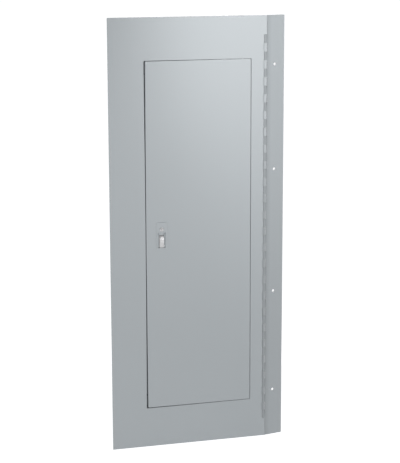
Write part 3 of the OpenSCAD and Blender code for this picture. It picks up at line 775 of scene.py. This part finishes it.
def finger_pull():
    """The stainless pull: a pressed blade with turned ends and soft edges, and its lever and ball."""
    lo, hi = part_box("door_pull")
    cx = PULL_PIVOT.x
    half = 7.3 * MM
    thick = 1.3 * MM
    e = 0.35 * MM
    side = 0.25 * MM
    inset = 0.1 * MM
    rows = 40
    bm = bmesh.new()
    rings = []
    for i in range(rows + 1):
        t = i / rows
        z = lo.z + inset + (hi.z - lo.z - 2 * inset) * t
        y = FRONT + pull_depth(t)
        w = half - 1.2 * MM * max(0.0, abs(t - 0.5) * 2 - 0.93) / 0.07
        rings.append([(cx - w, y + e + side, z), (cx - w + e, y + side * 0.6, z), (cx - w * 0.5, y, z),
                      (cx + w * 0.5, y, z), (cx + w - e, y + side * 0.6, z), (cx + w, y + e + side, z),
                      (cx + w, y + thick - e, z), (cx + w - e, y + thick, z),
                      (cx - w + e, y + thick, z), (cx - w, y + thick - e, z)])
    loft(bm, rings)
    barrel = [(cx + dx, PULL_PIVOT.y, PULL_PIVOT.z) for dx in (-5 * MM, 5 * MM)]
    sweep(bm, barrel, [2.5 * MM, 2.5 * MM], 24)
    droop = math.radians(15)
    length = 12.94 * MM
    ball = 2.45 * MM
    direction = Vector((0, math.cos(droop), -math.sin(droop)))
    path = [PULL_PIVOT + direction * d for d in (2 * MM, 5 * MM, length - ball)]
    sweep(bm, path, [2.1 * MM, 1.7 * MM, 1.5 * MM], 16)
    tip = PULL_PIVOT + direction * length
    steps = 12
    places = [tip - direction * ball * math.cos(math.pi * k / steps) for k in range(1, steps)]
    sweep(bm, places, [ball * math.sin(math.pi * k / steps) for k in range(1, steps)], 20)
    as_piece("finger_pull", mesh_of("finger_pull", bm), "pull", "stainless", "door_pull")


def sweep(bm, path, radii, sides):
    """Adds a closed round bar along a straight path whose radius may change."""
    path = [Vector(p) for p in path]
    ahead = (path[-1] - path[0]).normalized()
    across = ahead.orthogonal().normalized()
    other = ahead.cross(across)
    rings = []
    for point, radius in zip(path, radii):
        ring = []
        for i in range(sides):
            a = 2 * math.pi * i / sides
            ring.append(point + (across * math.cos(a) + other * math.sin(a)) * radius)
        rings.append(ring)
    loft(bm, rings)


# ---------------------------------------------------------------- the other CAD nodes

REPLACED = {"trim_panel", "mounting_strip", "door_panel", "latch_housing", "lock_cylinder", "door_pull"}
EDGE = {"directory_card": 0.05 * MM, "directory_window": 0.08 * MM, "pull_spring": 0.0}


def finish_nodes():
    """Gives every CAD node that stays its material and soft edges."""
    for name, node in NODES.items():
        node.data.materials.clear()
        node.data.materials.append(MATERIALS[SLOT_OF[name]])
        if name in REPLACED:
            continue
        width = EDGE.get(name, 0.22 * MM)
        if width:
            soft_edges(node, width)


# ---------------------------------------------------------------- stage

def aimed(name, data, place, aim):
    """Puts a light in its place and turns it towards a point."""
    obj = bpy.data.objects.new(name, data)
    obj.location = place
    obj.rotation_euler = (Vector(aim) - Vector(place)).to_track_quat("-Z", "Y").to_euler()
    bpy.context.scene.collection.objects.link(obj)


def softbox(name, place, aim, size, power):
    """A large rectangular light, which the enamel reflects as a soft patch."""
    data = bpy.data.lights.new(name, "AREA")
    data.shape = "RECTANGLE"
    data.size, data.size_y = size
    data.energy = power
    aimed(name, data, place, aim)


def spot(name, place, aim, angle, power):
    """A soft-edged round pool of light."""
    data = bpy.data.lights.new(name, "SPOT")
    data.spot_size = math.radians(angle)
    data.spot_blend = 1.0
    data.shadow_soft_size = 0.12
    data.energy = power
    aimed(name, data, place, aim)


def stage():
    """A white floor, soft studio light and the camera."""
    floor_mesh = bpy.data.meshes.new("floor")
    far = 400
    z = BOTTOM - 0.5 * MM
    corners = [(-far, -far, z), (far, -far, z), (far, far, z), (-far, far, z)]
    floor_mesh.from_pydata(corners, [], [(0, 1, 2, 3)])
    floor = bpy.data.objects.new("floor", floor_mesh)
    bpy.context.scene.collection.objects.link(floor)
    mat, tree, bsdf, at = shader("white_floor")
    tint = blend_colours(tree, noise(tree, at, 0.7), (0.93, 0.93, 0.93), (0.95, 0.95, 0.95))
    tree.links.new(tint, bsdf.inputs["Base Color"])
    bsdf.inputs["Roughness"].default_value = 0.9
    bsdf.inputs["Specular IOR Level"].default_value = 0.0
    bsdf.inputs["Emission Color"].default_value = (1, 1, 1, 1)
    bsdf.inputs["Emission Strength"].default_value = 0.81
    floor_mesh.materials.append(mat)

    world = bpy.data.worlds.new("studio")
    world.use_nodes = True
    sky = world.node_tree.nodes["Background"]
    sky.inputs["Color"].default_value = (0.95, 0.975, 1.0, 1)
    sky.inputs["Strength"].default_value = 0.275
    bpy.context.scene.world = world

    softbox("softbox", (1.25, -4.17, 0.75), (-0.08, 0.0, 0.62), (1.0, 1.9), 26)
    spot("upper_left_glow", (-0.9, -0.9, 2.4), (-0.04, 0.0, 0.55), 22, 128)
    spot("upper_right_glow", (0.7, -1.6, 2.6), (-0.08, 0.0, 0.62), 22, 105)
    spot("broad_left", (-2.2, -1.6, 0.4), (-0.08, 0.0, -0.15), 46, 31)

    camera = bpy.data.cameras.new("camera")
    camera.lens = 113.73
    camera.sensor_width = 36
    camera.clip_end = 1500
    eye = bpy.data.objects.new("camera", camera)
    yaw, pitch, roll = (math.radians(a) for a in (15.776, 11.478, 0.153))
    look = Vector((math.sin(yaw) * math.cos(pitch), math.cos(yaw) * math.cos(pitch), -math.sin(pitch)))
    eye.location = (-1.4111, -4.1688, 0.8886)
    level = look.to_track_quat("-Z", "Y").to_matrix().to_4x4()
    eye.rotation_euler = (level @ Matrix.Rotation(-roll, 4, "Z")).to_euler()
    bpy.context.scene.collection.objects.link(eye)
    bpy.context.scene.camera = eye
    bpy.context.scene.view_settings.view_transform = "Standard"


finish_nodes()
trim_sheet()
strip_sheet()
door_pan()
latch_housing()
lock_body()
finger_pull()
stage()
